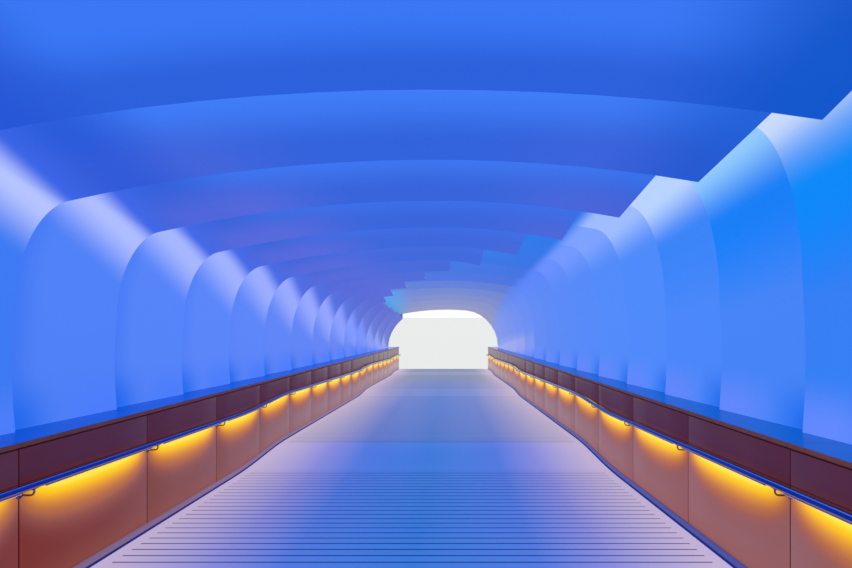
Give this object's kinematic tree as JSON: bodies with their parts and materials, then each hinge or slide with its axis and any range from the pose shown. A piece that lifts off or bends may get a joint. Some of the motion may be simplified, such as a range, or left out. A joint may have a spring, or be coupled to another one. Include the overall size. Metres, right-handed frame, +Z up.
{
  "type": "enclosed passenger walkway bridge",
  "caption": "Enclosed sloping passenger walkway on steel columns, with ramps and landings, copper wall panels, handrails and a vault of overlapping lit shells.",
  "frame": {"origin": "on the ground under the middle of the bridge, at the bottom centre of its bounding box", "axes": "+X across the walkway to the right for someone walking down it, +Y along the walkway towards its low end, +Z up"},
  "size_m": [7.5, 28.956, 9.4981],
  "materials": {
    "column_steel": "steel tube and plate with a grey satin coating",
    "girder_steel": "rolled and welded steel with a dark grey satin coating",
    "bearing_rubber": "laminated rubber pad",
    "deck_concrete": "cast concrete, off the form",
    "floor_terrazzo": "polished pale seamless floor with thin cross grooves on the ramps",
    "wall_board": "framed wall behind the panels",
    "copper_panel": "satin copper-coloured metal panel",
    "dark_copper_panel": "satin dark copper-coloured metal panel",
    "stainless": "brushed stainless steel",
    "cap_copper": "smooth metal ledge lit blue by the shells, with a copper front edge",
    "amber_light": "amber light strip",
    "shell_blue": "smooth matt shell washed with deep blue light",
    "shell_azure": "smooth matt shell washed with azure light",
    "white_light": "cool white light strip",
    "portal_metal": "smooth satin-coated metal frame",
    "cladding": "insulated metal cladding panels, satin grey",
    "roof_metal": "standing-seam metal roof",
    "gutter_metal": "folded aluminium"
  },
  "bodies": {
    "root": {"columns_1": "column_steel", "columns_2": "column_steel", "columns_3": "column_steel", "columns_4": "column_steel", "crossheads": "girder_steel", "bearings": "bearing_rubber", "girder_left": "girder_steel", "girder_right": "girder_steel", "floor_beams": "girder_steel", "deck": "deck_concrete", "ramp_floors": "floor_terrazzo", "landing_floors": "floor_terrazzo", "knee_wall_left": "wall_board", "knee_wall_right": "wall_board", "lower_panels_left": "copper_panel", "lower_panels_right": "copper_panel", "upper_panels_left": "dark_copper_panel", "upper_panels_right": "dark_copper_panel", "skirting_left": "stainless", "skirting_right": "stainless", "cap_left": "cap_copper", "cap_right": "cap_copper", "wall_end_plates": "copper_panel", "handrail_left": "stainless", "handrail_right": "stainless", "rail_brackets_left": "stainless", "rail_brackets_right": "stainless", "rail_lights_left": "amber_light", "rail_lights_right": "amber_light", "left_shells_1": "shell_blue", "left_shells_2": "shell_blue", "left_shells_3": "shell_blue", "left_shells_4": "shell_blue", "right_shells_1": "shell_azure", "right_shells_2": "shell_azure", "right_shells_3": "shell_azure", "right_shells_4": "shell_azure", "cove_lights_left": "white_light", "cove_lights_right": "white_light", "near_portal": "portal_metal", "far_portal": "portal_metal", "outer_wall_left": "cladding", "outer_wall_right": "cladding", "roof": "roof_metal", "gutters": "gutter_metal"}
  },
  "joints": []
}
